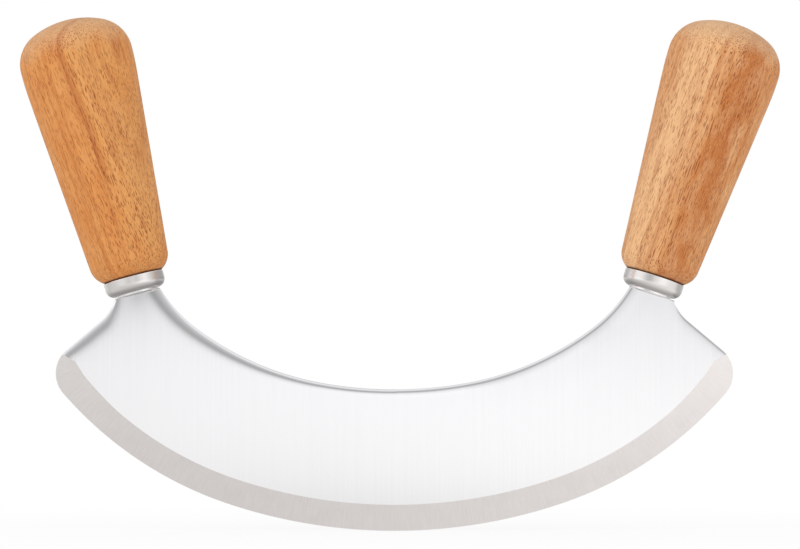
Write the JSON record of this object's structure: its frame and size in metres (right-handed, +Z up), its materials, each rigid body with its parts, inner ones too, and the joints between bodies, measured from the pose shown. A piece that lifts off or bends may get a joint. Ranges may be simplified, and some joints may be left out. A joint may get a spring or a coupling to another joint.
{
  "type": "mezzaluna",
  "caption": "Rocking herb chopper: a crescent steel blade with a ground curved edge and an upright turned wooden handle in a metal ferrule at each horn.",
  "frame": {"origin": "lowest point of the cutting edge, in the middle of the sheet", "axes": "+X along the blade from the left handle to the right handle, +Y through the sheet towards its back face, +Z up from the cutting edge to the handles"},
  "size_m": [0.2405, 0.036, 0.1622],
  "materials": {
    "blade_steel": "fine upright brushing on the flats, grinding marks across the bevel",
    "ferrule_metal": "satin, drawn and tumbled",
    "handle_wood": "oiled open-pored hardwood, orange tan with darker streaks",
    "adhesive": "set amber epoxy"
  },
  "bodies": {
    "root": {"blade": "blade_steel", "ferrule_left": "ferrule_metal", "ferrule_right": "ferrule_metal", "handle_left": "handle_wood", "handle_right": "handle_wood", "adhesive_left": "adhesive", "adhesive_right": "adhesive"}
  },
  "joints": []
}
